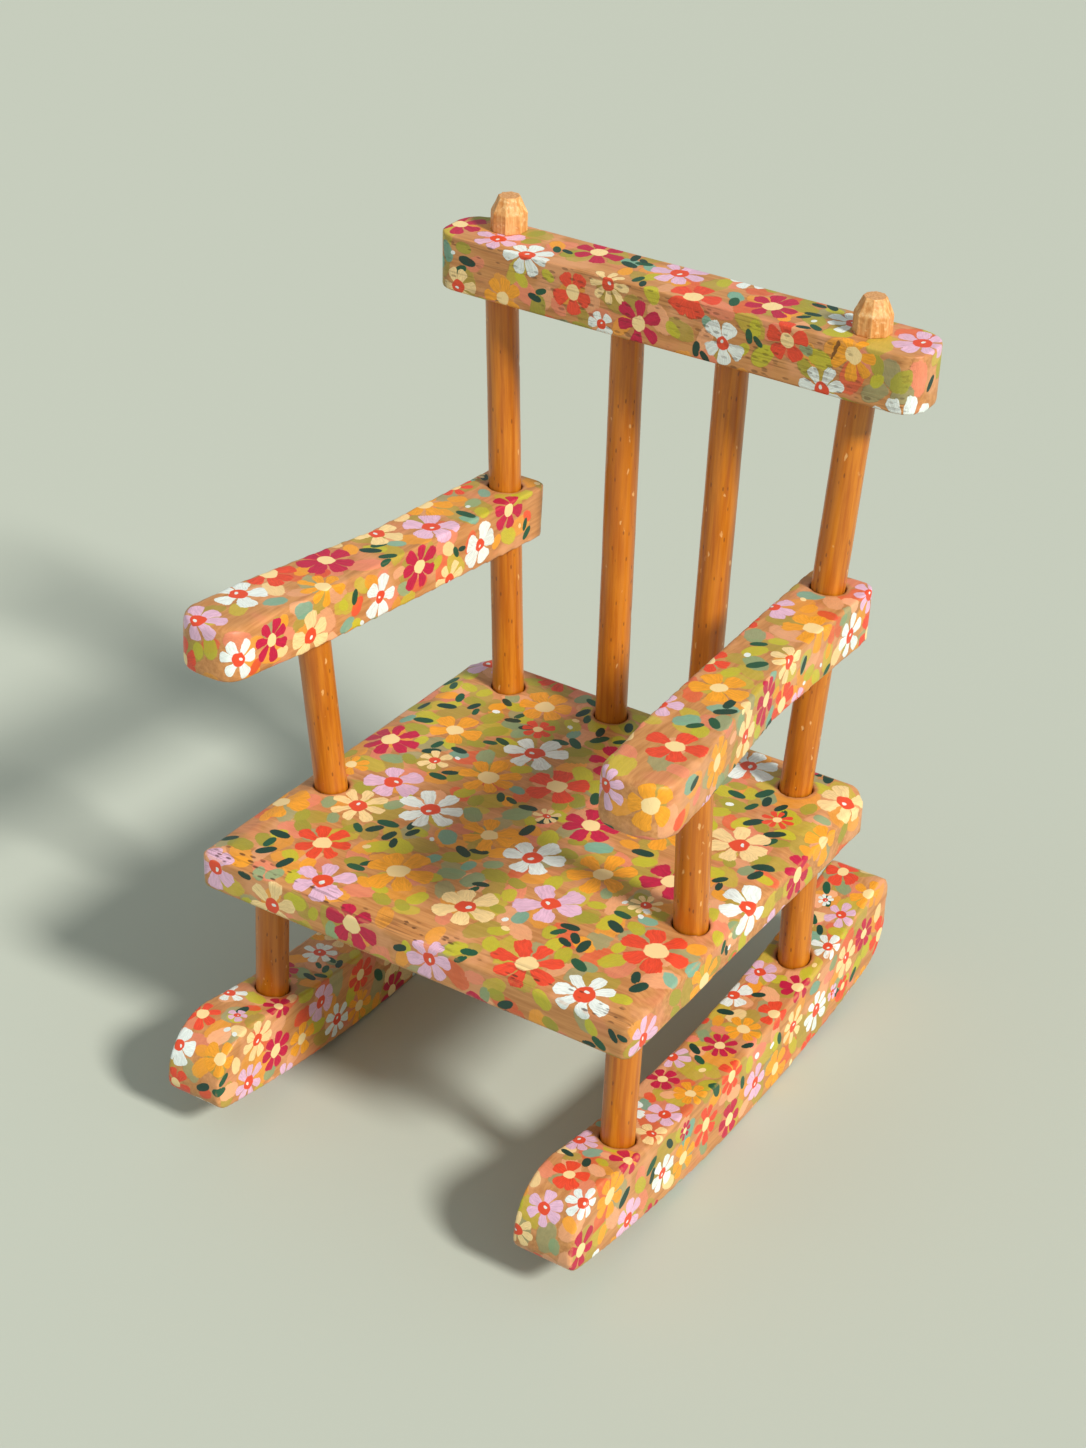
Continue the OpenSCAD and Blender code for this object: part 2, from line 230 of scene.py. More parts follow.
class Board:
    """A painted board: its surface, and the marks that a brush has put on it."""

    def __init__(self, piece, dowels, flat_axis, seed):
        self.mesh = piece.data
        self.co = coordinates(self.mesh)
        self.normals = normals_of(self.mesh)
        self.flat_axis = flat_axis
        self.rng = np.random.RandomState(seed)
        faces = np.empty(len(self.mesh.loops), np.int32)
        self.mesh.loops.foreach_get("vertex_index", faces)
        self.faces = faces.reshape(-1, 4)
        self.tree = BVHTree.FromPolygons(self.co.tolist(), self.faces.tolist())
        self.centres = self.co[self.faces].mean(1)
        self.gap = hole_distance(self.co, dowels)
        self.low, self.high = self.co.min(0), self.co.max(0)

    def random_place(self):
        """A random point on the surface, the way outwards from it and its face, or None near an edge."""
        guess = self.low + self.rng.rand(3) * (self.high - self.low)
        point, normal, face, _ = self.tree.find_nearest(Vector(guess))
        if SLOPED[0] < abs(normal[self.flat_axis]) < SLOPED[1]:
            return None
        return np.array(point), np.array(normal), face

    def scatter(self, tries, sizes, spacing, clear, around=()):
        """Places for marks, clear of each other, of the marks around and of the holes.

        spacing is how near two marks may stand against their sizes, and clear the same for a hole."""
        made = []
        taken = [p for p, n, r in around]
        sizes_taken = [r for p, n, r in around]
        for _ in range(tries):
            place = self.random_place()
            size = self.rng.uniform(*sizes)
            if place is None:
                continue
            point, normal, face = place
            if abs(normal[self.flat_axis]) < SLOPED[0]:
                size *= SIDE_SHARE
            if self.gap[self.faces[face][0]] < clear * size:
                continue
            if taken:
                apart = np.linalg.norm(np.array(taken) - point, axis=1)
                if (apart < spacing * (size + np.array(sizes_taken))).any():
                    continue
            taken.append(point)
            sizes_taken.append(size)
            made.append((point, normal, size))
        return made

    def lay(self, name, marks, shape=(1.0, 1.0), pair=0.0, near=()):
        """Writes each mark's own flat coordinates on the faces round it, folded over the board's edges.

        The third number is the mark's own whole number, which carries its kind. On faces without a mark
        the coordinates are far off. Gives back the place and kind of each mark, after those near."""
        corners = np.full((len(self.faces), 4, 3), FAR_OFF)
        nearest = np.full(len(self.faces), REACH)
        placed = list(near)
        for point, normal, size in marks:
            kind = self.kind_unlike(placed, point)
            placed.append((point, kind))
            number = KINDS * self.rng.randint(1, 160) + kind
            turn = self.rng.uniform(0, 2 * math.pi)
            self.stamp(corners, nearest, (point, normal, size), turn, shape, number)
            if self.rng.rand() < pair:
                along = self.tangent(normal, turn)
                beside = np.cross(normal, along) * size * shape[1] * 2.3
                second = (point + beside + along * size * 0.6, normal, size * 0.85)
                bent = turn + self.rng.uniform(0.5, 0.9)
                self.stamp(corners, nearest, second, bent, shape, number + KINDS)
        layer = self.mesh.attributes.new(name, "FLOAT_VECTOR", "CORNER")
        layer.data.foreach_set("vector", corners.astype(np.float32).ravel())
        return placed

    def kind_unlike(self, placed, point):
        """A kind that the four nearest placed marks don't have."""
        used = set()
        if placed:
            off = np.linalg.norm(np.array([place for place, kind in placed]) - point, axis=1)
            used = {placed[i][1] for i in np.argsort(off)[:4]}
        return int(self.rng.choice([kind for kind in range(KINDS) if kind not in used]))

    @staticmethod
    def tangent(normal, turn):
        """A direction along the surface, turned by an angle about the normal."""
        start = np.cross(normal, (0.3, 0.5, 0.81))
        start /= np.linalg.norm(start)
        return math.cos(turn) * start + math.sin(turn) * np.cross(normal, start)

    def stamp(self, corners, nearest, mark, turn, shape, number):
        """Gives the faces round one mark its coordinates, where no mark made before lies nearer."""
        point, normal, size = mark
        off = self.centres - point
        widest = 1.25 * size
        near = np.flatnonzero(np.einsum("ij,ij->i", off, off) < widest ** 2)
        reach = self.co[self.faces[near]] - point
        out = self.normals[self.faces[near]]
        facing = out @ normal
        drop = -(reach @ normal)
        over = out - facing[..., None] * normal
        bend = np.linalg.norm(over, axis=-1)
        over /= np.maximum(bend, 1e-3)[..., None]
        fold = drop * step_up(bend, 0.1, 0.6)
        flat = reach + drop[..., None] * normal + over * fold[..., None]
        along = self.tangent(normal, turn)
        at = np.stack([flat @ along / shape[0], flat @ np.cross(normal, along) / shape[1]], -1) / size
        distance = np.linalg.norm(at.mean(1), axis=1)
        better = (distance < nearest[near]) & (facing > TURNED_AWAY).all(1)
        near, at = near[better], at[better]
        nearest[near] = distance[better]
        corners[near, :, :2] = at
        corners[near, :, 2] = number


def edge_wear(co, edges):
    """How sharply the surface bends at each point, in mm: 0 on flat faces and most along the edges."""
    return np.linalg.norm(co - smoothed(co, edges, 12), axis=1) / MM


def paint(piece, dowels, flat_axis, seed, petal, area):
    """Flowers, leaves, dabs and dots over a whole board. petal is the smallest and largest size of a flower,
    and area is the board's surface against that of an armrest."""
    board = Board(piece, dowels, flat_axis, seed)
    small = petal[0]

    def places(tries, sizes, spacing, clear, around=()):
        return board.scatter(int(tries * area), sizes, spacing, clear, around)

    flowers = places(3000, petal, 0.86, 0.95)
    between = places(26, (0.5 * small, 0.66 * small), 0.82, 0.9, flowers)
    leaves = places(150, (2.0 * MM, 2.8 * MM), 0.86, 0.8, flowers)
    dabs = places(380, (2.2 * MM, 3.9 * MM), 0.66, 0.5, flowers)
    under = places(420, (3.0 * MM, 5.4 * MM), 0.52, 0.4)
    dots = places(90, (0.75 * MM, 1.15 * MM), 1.1, 1.5, flowers + leaves)
    planted = board.lay("flowers", flowers)
    board.lay("between", between, near=planted)
    board.lay("leaves", leaves, (1.0, 0.48), 0.5)
    board.lay("dabs", dabs, (1.0, 0.66))
    board.lay("under", under, (1.0, 0.6))
    board.lay("dots", dots, (1.0, 0.75))
    note(board.mesh, "hole_gap", board.gap)
    note(board.mesh, "wear", edge_wear(board.co, edges_of(board.mesh)))
    return board


# ---------------------------------------------------------------- node helpers

def colour(red, green, blue):
    """A colour as a paint chart gives it, 0 to 255, turned into light."""
    def light(c):
        c /= 255
        return c / 12.92 if c <= 0.04045 else ((c + 0.055) / 1.055) ** 2.4
    return (light(red), light(green), light(blue), 1)


class Nodes:
    """Adds nodes to a tree, so that a material reads as a list of formulas."""

    def __init__(self, tree):
        self.tree = tree

    def add(self, kind, **settings):
        """A new node with its settings."""
        node = self.tree.nodes.new(kind)
        for key, value in settings.items():
            setattr(node, key, value)
        return node

    def plug(self, socket, value):
        """Links another node's output to a socket, or writes a constant on it."""
        if isinstance(value, bpy.types.NodeSocket):
            self.tree.links.new(value, socket)
        else:
            socket.default_value = value

    def math(self, operation, *values):
        node = self.add("ShaderNodeMath", operation=operation)
        for socket, value in zip(node.inputs, values):
            self.plug(socket, value)
        return node.outputs[0]

    def vector(self, operation, *values):
        node = self.add("ShaderNodeVectorMath", operation=operation)
        for socket, value in zip(node.inputs, values):
            self.plug(socket, value)
        return node.outputs["Value" if operation == "LENGTH" else "Vector"]

    def scaled(self, vector, factors):
        return self.vector("MULTIPLY", vector, factors)

    def apart(self, vector):
        node = self.add("ShaderNodeSeparateXYZ")
        self.plug(node.inputs[0], vector)
        return node.outputs

    def together(self, x, y, z=0.0):
        node = self.add("ShaderNodeCombineXYZ")
        for socket, value in zip(node.inputs, (x, y, z)):
            self.plug(socket, value)
        return node.outputs[0]

    def ramp(self, value, low, high, start=0.0, end=1.0):
        """start below low, end above high and a smooth rise between them."""
        node = self.add("ShaderNodeMapRange", interpolation_type="SMOOTHSTEP")
        for socket, number in zip(node.inputs, (value, low, high, start, end)):
            self.plug(socket, number)
        return node.outputs[0]

    def mix(self, share, a, b, blend="MIX"):
        node = self.add("ShaderNodeMix", data_type="RGBA", blend_type=blend)
        self.plug(node.inputs[0], share)
        self.plug(node.inputs[6], a)
        self.plug(node.inputs[7], b)
        return node.outputs[2]

    def noise(self, vector, scale, detail=2.0, rough=0.5, output="Fac"):
        node = self.add("ShaderNodeTexNoise")
        self.plug(node.inputs["Vector"], vector)
        node.inputs["Scale"].default_value = scale
        node.inputs["Detail"].default_value = detail
        node.inputs["Roughness"].default_value = rough
        return node.outputs[output]

    def random(self, seed, salt, output="Value"):
        """A random number or colour that goes with a seed, different for each salt."""
        node = self.add("ShaderNodeTexWhiteNoise", noise_dimensions="2D")
        self.plug(node.inputs["Vector"], self.together(seed, salt))
        return node.outputs[output]

    def palette(self, value, colours):
        """One of the colours, picked by a value from 0 to 1."""
        node = self.add("ShaderNodeValToRGB")
        node.color_ramp.interpolation = "CONSTANT"
        stops = node.color_ramp.elements
        while len(stops) < len(colours):
            stops.new(1.0)
        for i, c in enumerate(colours):
            stops[i].position = i / len(colours)
            stops[i].color = c
        self.plug(node.inputs[0], value)
        return node.outputs[0]

    def spots(self, vector, channel, rare, core, rim):
        """Scattered spots, at most one in each unit of the vector. channel is the random number that picks
        them, rare is how few there are, and core and rim are where a spot starts to fade and ends."""
        cell = self.add("ShaderNodeTexVoronoi")
        cell.inputs["Scale"].default_value = 1.0
        self.plug(cell.inputs["Vector"], vector)
        chosen = self.ramp(self.apart(cell.outputs["Color"])[channel], rare, rare + 0.04)
        return self.math("MULTIPLY", self.ramp(cell.outputs["Distance"], core, rim, 1.0, 0.0), chosen)

    def bump(self, shader, height, strength, depth):
        """Gives a shader's surface the relief of a height."""
        node = self.add("ShaderNodeBump")
        node.inputs["Strength"].default_value = strength
        node.inputs["Distance"].default_value = depth
        self.plug(node.inputs["Height"], height)
        self.plug(shader.inputs["Normal"], node.outputs[0])

    def attribute(self, name, output="Vector"):
        return self.add("ShaderNodeAttribute", attribute_name=name).outputs[output]

    def use(self, group, **values):
        """The outputs of a node group with these inputs."""
        node = self.add("ShaderNodeGroup", node_tree=group)
        for key, value in values.items():
            self.plug(node.inputs[key], value)
        return node.outputs


def new_group(name, inputs, outputs):
    """An empty node group and its input sockets. Each socket is given as its name and kind."""
    tree = bpy.data.node_groups.new(name, "ShaderNodeTree")
    for label, kind in inputs:
        tree.interface.new_socket(label, in_out="INPUT", socket_type="NodeSocket" + kind)
    for label, kind in outputs:
        tree.interface.new_socket(label, in_out="OUTPUT", socket_type="NodeSocket" + kind)
    nodes = Nodes(tree)
    nodes.given = nodes.add("NodeGroupInput").outputs
    nodes.result = nodes.add("NodeGroupOutput").inputs
    return nodes


# ---------------------------------------------------------------- colours

CRIMSON = colour(190, 24, 68)
CORAL = colour(228, 74, 46)
SNOW = colour(228, 238, 236)
LILAC = colour(224, 182, 210)
CREAM = colour(242, 212, 152)
MARIGOLD = colour(238, 160, 40)
SCARLET = colour(226, 76, 44)
STRAW = colour(246, 218, 158)
LIME = colour(190, 186, 46)
OLIVE = colour(160, 156, 50)
MOSS = colour(26, 82, 56)
PINE = colour(20, 62, 50)
TEAL = colour(112, 172, 152)
SAGE = colour(136, 164, 122)
PEACH = colour(240, 174, 132)
ROSE = colour(236, 132, 110)
UMBER = colour(74, 42, 24)
TAN, PALE_TAN = colour(182, 122, 68), colour(210, 150, 92)
HONEY, AMBER, CARAMEL = colour(174, 92, 8), colour(208, 128, 26), colour(190, 106, 12)
FLECK, DING = colour(104, 50, 16), colour(240, 190, 124)
BEECH, PALE_BEECH, FRESH_CUT = colour(206, 134, 66), colour(240, 186, 120), colour(250, 214, 160)
PORE, END_GRAIN = colour(196, 138, 84), colour(222, 168, 116)
FLOOR, SKY = colour(188, 196, 186), colour(214, 219, 214)

PETALS = [CRIMSON, CORAL, SNOW, LILAC, CREAM, MARIGOLD]
MIDDLES = [STRAW, STRAW, SCARLET, SCARLET, SCARLET, STRAW]
SHINES = [(x == SCARLET) for x in MIDDLES]
KINDS = len(PETALS)
DABS = [LIME, TEAL, MARIGOLD, OLIVE, SAGE, LIME, OLIVE, LIME]
SIDE_DABS = [LIME, PEACH, TEAL, CREAM, CORAL, LIME, MARIGOLD, ROSE, SAGE]
UNDER_DABS = [PEACH, OLIVE, CORAL, LIME, MARIGOLD, OLIVE, ROSE, SAGE]


# ---------------------------------------------------------------- brush marks

def mark_group(name, rag):
    """A group that draws one mark in its own flat coordinates. rag is how torn the outline is.
    Gives back the coordinates and the mark's whole number as well."""
    g = new_group(name, [("Place", "Vector"), ("Wobble", "Vector")],
                  [("Colour", "Color"), ("Mask", "Float"), ("Height", "Float")])
    shaken = g.vector("ADD", g.given["Place"], g.scaled(g.given["Wobble"], (rag, rag, 0)))
    x, y, number = g.apart(shaken)
    return g, x, y, g.math("ROUND", number)


def brushed(g, colours, kind, tone, mask, relief):
    """A colour from a list made lighter or darker by a tone, and the paint's height under a mask."""
    picked = g.mix(1.0, g.palette(kind, colours), g.together(tone, tone, tone), "MULTIPLY")
    return picked, g.math("MULTIPLY", mask, relief)


def petal_frame(g, x, y, seed, reach):
    """Which petal a point is on: its index, its three random numbers, half the angle between petals,
    and how far the point lies along and across it."""
    turn = g.math("MULTIPLY_ADD", g.math("ARCTAN2", y, x), 0.5 / math.pi, 0.5)
    count = g.math("FLOOR", g.math("MULTIPLY_ADD", g.random(seed, 1.0), 3.3, 5.0))
    slot = g.math("MULTIPLY", turn, count)
    index = g.math("FLOOR", slot)
    petal = g.apart(g.random(g.math("MULTIPLY_ADD", seed, 16.0, index), 2.0, "Color"))
    half = g.math("DIVIDE", math.pi, count)
    lean = g.math("MULTIPLY_ADD", petal[0], 0.3, -0.15)
    centred = g.math("ADD", g.math("SUBTRACT", g.math("SUBTRACT", slot, index), 0.5), lean)
    angle = g.math("MULTIPLY", centred, g.math("MULTIPLY", half, 2.0))
    along = g.math("MULTIPLY", reach, g.math("COSINE", angle))
    across = g.math("MULTIPLY", reach, g.math("SINE", angle))
    return index, petal, half, along, across


def petal_shape(g, seed, petal, half, along, across):
    """0 in the middle of a petal, 1 on its outline and more outside."""
    length = g.math("MULTIPLY_ADD", petal[1], 0.16, 0.84)
    fill = g.math("MULTIPLY_ADD", g.random(seed, 3.0), 0.22, 0.66)
    spread = g.math("MULTIPLY", g.math("TANGENT", half), fill)
    width = g.math("MULTIPLY", spread, g.math("MULTIPLY_ADD", along, 0.8, 0.1))
    way = g.math("DIVIDE", g.math("SUBTRACT", along, g.math("MULTIPLY", length, 0.54)),
                 g.math("MULTIPLY", length, 0.46))
    side = g.math("DIVIDE", across, width)
    return g.math("ADD", g.math("POWER", g.math("ABSOLUTE", way), 2.7),
                  g.math("POWER", g.math("ABSOLUTE", side), 2.3))


def middle_colour(g, x, y, kind):
    """The colour of a flower's middle, with a small pale shine on the red ones."""
    shine_share = g.palette(kind, [(s, s, s, 1) for s in SHINES])
    shine_at = g.vector("SUBTRACT", g.together(x, y), (0.05, 0.06, 0))
    shine = g.ramp(g.vector("LENGTH", g.scaled(shine_at, (1, 1.5, 0))), 0.075, 0.1, 1.0, 0.0)
    return g.mix(g.math("MULTIPLY", shine, shine_share), g.palette(kind, MIDDLES), SNOW)


def daisy_group():
    """A daisy of 5 to 8 brushed petals round a middle."""
    g, x, y, seed = mark_group("daisy", 0.2)
    reach = g.vector("LENGTH", g.together(x, y))
    index, petal, half, along, across = petal_frame(g, x, y, seed, reach)
    shape = petal_shape(g, seed, petal, half, along, across)
    strokes = g.noise(g.together(g.math("MULTIPLY", along, 2.2), g.math("MULTIPLY", across, 13.0),
                                 g.math("MULTIPLY_ADD", index, 9.0, seed)), 1.6, 3.0, 0.6)
    petals = g.ramp(g.math("MULTIPLY_ADD", strokes, 0.55, shape), 1.16, 1.28, 1.0, 0.0)
    middle_r = g.math("MULTIPLY_ADD", g.random(seed, 4.0), 0.06, 0.26)
    middle = g.ramp(g.math("SUBTRACT", reach, middle_r), -0.015, 0.02, 1.0, 0.0)
    mask = g.math("MAXIMUM", petals, middle)
    remainder = g.math("MODULO", seed, float(KINDS))
    kind = g.math("DIVIDE", g.math("ADD", remainder, 0.5), float(KINDS))
    tone = g.math("ADD", g.math("MULTIPLY_ADD", strokes, 0.8, 0.55), g.math("MULTIPLY", petal[2], 0.12))
    relief = g.math("MULTIPLY_ADD", strokes, 0.9, 0.35)
    petal_colour, height = brushed(g, PETALS, kind, tone, mask, relief)
    g.plug(g.result["Colour"], g.mix(middle, petal_colour, middle_colour(g, x, y, kind)))
    g.plug(g.result["Mask"], mask)
    g.plug(g.result["Height"], height)
    return g.tree


def dab_group(name, colours, rag):
    """One press of a brush, such as a leaf, a dab or a dot."""
    g, x, y, seed = mark_group(name, rag)
    strokes = g.noise(g.together(g.math("MULTIPLY", x, 1.5), g.math("MULTIPLY", y, 7.0), seed), 1.7, 3.0, 0.6)
    shape = g.math("ADD", g.math("POWER", g.math("ABSOLUTE", x), 2.3), g.math("MULTIPLY", y, y))
    mask = g.ramp(g.math("MULTIPLY_ADD", strokes, 0.5, shape), 1.02, 1.2, 1.0, 0.0)
    tone = g.math("MULTIPLY_ADD", strokes, 0.5, g.math("MULTIPLY_ADD", g.random(seed, 6.0), 0.2, 0.66))
    relief = g.math("MULTIPLY_ADD", strokes, 0.6, 0.3)
    picked, height = brushed(g, colours, g.random(seed, 7.0), tone, mask, relief)
    g.plug(g.result["Colour"], picked)
    g.plug(g.result["Mask"], mask)
    g.plug(g.result["Height"], height)
    return g.tree


# ---------------------------------------------------------------- materials

def new_material(name):
    """A material with an empty Principled shader, and the helper that adds nodes to it."""
    material = bpy.data.materials.new(name)
    material.use_nodes = True
    nodes = Nodes(material.node_tree)
    return material, nodes, material.node_tree.nodes["Principled BSDF"]


def torn_grain(m, place):
    """Marks of a dull plane where a board has the attribute "planed": fine dark lines along X, and pits."""
    lines = m.ramp(m.noise(m.scaled(place, (50.0, 1300.0, 1300.0)), 1.0, 2.0, 0.5), 0.54, 0.62)
    pits = m.spots(m.scaled(place, (420.0, 1100.0, 1100.0)), 0, 0.56, 0.24, 0.42)
    patches = m.ramp(m.noise(place, 130.0, 2.0, 0.5), 0.36, 0.52)
    torn = m.math("MULTIPLY", m.math("MAXIMUM", m.math("MULTIPLY", lines, 0.5), pits), patches)
    return m.math("MULTIPLY", torn, m.attribute("planed", "Fac"))


def tan_wood(m, place, lines, blotch):
    """The colour of the bare board, with faint blotches of old paint."""
    tint = m.noise(m.vector("ADD", place, (0.3, 0.1, 0.2)), 120.0, 2.0, 0.5)
    wood = m.mix(m.ramp(lines, 0.3, 0.72), TAN, PALE_TAN)
    wood = m.mix(m.math("MULTIPLY", m.ramp(blotch, 0.5, 0.66), 0.4), wood, PEACH)
    return m.mix(m.math("MULTIPLY", m.ramp(tint, 0.55, 0.7), 0.25), wood, ROSE)


def paint_left(m, place, gap, blotch):
    """How much paint is left: none close round the holes, and less along worn edges."""
    bare = m.ramp(m.math("ADD", gap, m.math("MULTIPLY", blotch, 1.6 * MM)), 1.4 * MM, 2.4 * MM)
    rim = m.ramp(m.attribute("wear", "Fac"), 0.16, 0.34)
    worn = m.math("MULTIPLY", rim, m.ramp(m.noise(place, 300.0, 3.0, 0.6), 0.42, 0.6))
    return m.math("MULTIPLY", bare, m.math("MULTIPLY_ADD", worn, -0.75, 1.0))


def painted_wood(name, grain, layers, relief):
    """Tan wood under layers of brushed marks. grain is how the wood's lines are stretched along X, Y and Z,
    and relief is how thick the paint stands."""
    material, m, shader = new_material(name)
    place = m.add("ShaderNodeTexCoord").outputs["Object"]
    wobble = m.vector("SUBTRACT", m.noise(place, 420.0, 2.0, 0.5, "Color"), (0.5, 0.5, 0.5))
    lines = m.noise(m.scaled(place, grain), 1.0, 4.0, 0.65)
    blotch = m.noise(place, 95.0, 3.0, 0.55)
    gap = m.attribute("hole_gap", "Fac")
    kept = paint_left(m, place, gap, blotch)
    split = m.math("MULTIPLY_ADD", m.noise(place, 1100.0, 2.0, 0.5), 0.7, m.attribute("split", "Fac"))
    torn = m.math("MAXIMUM", torn_grain(m, place), m.ramp(split, 0.98, 1.1))
    shown = tan_wood(m, place, lines, blotch)
    height = m.math("MULTIPLY", lines, 0.2)
    for layer, group, strength in layers:
        mark = m.use(group, Place=m.attribute(layer), Wobble=wobble)
        mask = m.math("MULTIPLY", m.math("MULTIPLY", mark["Mask"], kept), strength)
        shown = m.mix(mask, shown, mark["Colour"])
        height = m.math("MAXIMUM", height, m.math("MULTIPLY", mark["Height"], kept))
    ring = m.ramp(gap, 0.1 * MM, 0.7 * MM, 0.55, 0.0)
    shown = m.mix(m.math("MAXIMUM", ring, m.math("MULTIPLY", torn, 0.8)), shown, UMBER)
    m.plug(shader.inputs["Base Color"], shown)
    m.plug(shader.inputs["Roughness"], m.math("MULTIPLY_ADD", m.noise(place, 260.0, 3.0), 0.2, 0.36))
    m.bump(shader, m.math("SUBTRACT", height, torn), relief, 0.12 * MM)
    shader.inputs["Specular IOR Level"].default_value = 0.4
    shader.inputs["Coat Weight"].default_value = 0.12
    shader.inputs["Coat Roughness"].default_value = 0.3
    return material


def varnished_beech():
    """Honey varnish over beech, with short dark flecks and a few pale dings along each dowel."""
    material, m, shader = new_material("varnished_beech")
    own = m.attribute("own_place")
    streaks = m.noise(m.scaled(own, (900.0, 900.0, 45.0)), 1.0, 4.0, 0.6)
    bands = m.noise(m.scaled(own, (160.0, 160.0, 26.0)), 1.0, 2.0, 0.5)
    wood = m.mix(m.ramp(streaks, 0.3, 0.7), HONEY, AMBER)
    wood = m.mix(m.math("MULTIPLY", m.ramp(bands, 0.4, 0.7), 0.5), wood, CARAMEL)
    fleck = m.spots(m.scaled(own, (1250.0, 1250.0, 400.0)), 0, 0.74, 0.14, 0.30)
    shown = m.mix(m.math("MULTIPLY", fleck, 0.65), wood, FLECK)
    curl = m.scaled(m.noise(own, 500.0, 2.0, 0.5, "Color"), (1.4 * MM, 1.4 * MM, 1.4 * MM))
    ding = m.spots(m.scaled(m.vector("ADD", own, curl), (620.0, 620.0, 230.0)), 1, 0.66, 0.1, 0.22)
    shown = m.mix(m.math("MULTIPLY", ding, 0.7), shown, DING)
    marks = m.math("ADD", fleck, ding)
    m.plug(shader.inputs["Base Color"], shown)
    m.plug(shader.inputs["Roughness"], m.math("MULTIPLY_ADD", streaks, 0.2, 0.26))
    height = m.math("MULTIPLY_ADD", streaks, 0.4, m.math("MULTIPLY", marks, -1.0))
    m.bump(shader, height, 0.4, 0.1 * MM)
    shader.inputs["Coat Weight"].default_value = 0.25
    shader.inputs["Coat Roughness"].default_value = 0.25
    return material


def bare_beech():
    """Pale whittled beech with fine lines along the peg."""
    material, m, shader = new_material("bare_beech")
    place = m.add("ShaderNodeTexCoord").outputs["Object"]
    streaks = m.noise(m.scaled(place, (1400.0, 1400.0, 120.0)), 1.0, 4.0, 0.6)
    cuts = m.noise(place, 900.0, 2.0, 0.5)
    wood = m.mix(m.ramp(streaks, 0.3, 0.7), BEECH, PALE_BEECH)
    shown = m.mix(m.math("MULTIPLY", m.ramp(cuts, 0.56, 0.68), 0.5), wood, FRESH_CUT)
    pores = m.ramp(m.noise(place, 2600.0, 2.0, 0.6), 0.42, 0.6)
    end = m.mix(pores, PORE, END_GRAIN)
    shown = m.mix(m.math("MULTIPLY", m.attribute("end_grain", "Fac"), 0.85), shown, end)
    m.plug(shader.inputs["Base Color"], shown)
    m.plug(shader.inputs["Roughness"], m.math("MULTIPLY_ADD", streaks, 0.2, 0.42))
    m.bump(shader, m.math("ADD", streaks, cuts), 0.4, 0.1 * MM)
    return material


def finish_piece(piece, node, material):
    """Puts a finished piece in the place of its CAD node."""
    piece.data.materials.append(material)
    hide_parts(node)
    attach(piece, "root")


# ---------------------------------------------------------------- the boards

def soften(piece, dowels, rounds, ripple, seed):
    """Rounds a board's edges, ripples its faces as a plane and sandpaper do, and opens its holes."""
    mesh = piece.data
    co = smoothed(coordinates(mesh), edges_of(mesh), rounds)
    put_coordinates(mesh, co)
    co = co + normals_of(mesh) * (ripple * waves(co, 22 * MM, seed))[:, None]
    put_coordinates(mesh, open_holes(co, dowels))


def seat(material):
    """The seat board, with the marks of the plane along its front bevel."""
    piece = even_mesh("seat", "painted_seat", 0.56 * MM)
    soften(piece, DOWELS, 1, 0.08 * MM, 1)
    board = paint(piece, DOWELS, 2, 11, (7.0 * MM, 8.3 * MM), 4.4)
    on_top = board.normals[:, 2] > 0.7
    behind = step_up(board.co[:, 1], board.low[1] + 4 * MM, board.low[1] + 6 * MM)
    note(board.mesh, "planed", on_top * (1 - behind))
    finish_piece(piece, "seat", material)


def armrest(side, material):
    """An armrest, whose front end is rounded more than its edges."""
    node = f"armrest_{side}"
    dowels = [f"arm_post_{side}", f"back_post_{side}"]
    piece = even_mesh(node, f"painted_{node}", 0.4 * MM)
    mesh = piece.data
    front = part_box(node)[0].y
    nose = 1 - step_up(coordinates(mesh)[:, 1], front + 8 * MM, front + 22 * MM)
    soften(piece, dowels, 3, 0.1 * MM, 2 + len(side))
    co = smoothed(coordinates(mesh), edges_of(mesh), 50, HALF_WAY * nose)
    put_coordinates(mesh, open_holes(co, dowels))
    paint(piece, dowels, 2, 20 + len(side), (6.2 * MM, 7.4 * MM), 1.0)
    finish_piece(piece, node, material)


def closeness(co, start, end):
    """1 on the line between two points, falling to 0 at 1.5 mm from its start and half that from its end."""
    way = end - start
    share = np.clip((co - start) @ way / (way @ way), 0, 1)
    off = np.linalg.norm(co - start - np.outer(share, way), axis=1)
    return np.maximum(0, 1 - off / (1.5 * MM * (1 - 0.5 * share)))


def crest_rail(material):
    """The crest rail, roughly planed in front, with a small split below its right finial."""
    dowels = BACK_POSTS + SPINDLES
    piece = even_mesh("crest_rail", "painted_crest_rail", 0.4 * MM)
    soften(piece, dowels, 2, 0.1 * MM, 9)
    board = paint(piece, dowels, 2, 33, (6.2 * MM, 7.4 * MM), 1.1)
    note(board.mesh, "planed", 0.6 * step_up(-board.normals[:, 1], 0.6, 0.9))
    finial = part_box("finial_right")[0]
    start = np.array([finial.x + 0.4 * MM, board.low[1] + 0.6 * MM, board.high[2] - 0.6 * MM])
    note(board.mesh, "split", closeness(board.co, start, start + np.array([-1.3, -0.3, -3.8]) * MM))
    finish_piece(piece, "crest_rail", material)


def rocker(side, material):
    """A rocker, painted with smaller flowers."""
    node = f"rocker_{side}"
    dowels = [f"front_leg_{side}", f"back_leg_{side}"]
    piece = even_mesh(node, f"painted_{node}", 0.48 * MM)
    soften(piece, dowels, 2, 0.08 * MM, 5 + len(side))
    paint(piece, dowels, 0, 40 + len(side), (4.8 * MM, 6.0 * MM), 2.2)
    finish_piece(piece, node, material)


# ---------------------------------------------------------------- the dowels and finials

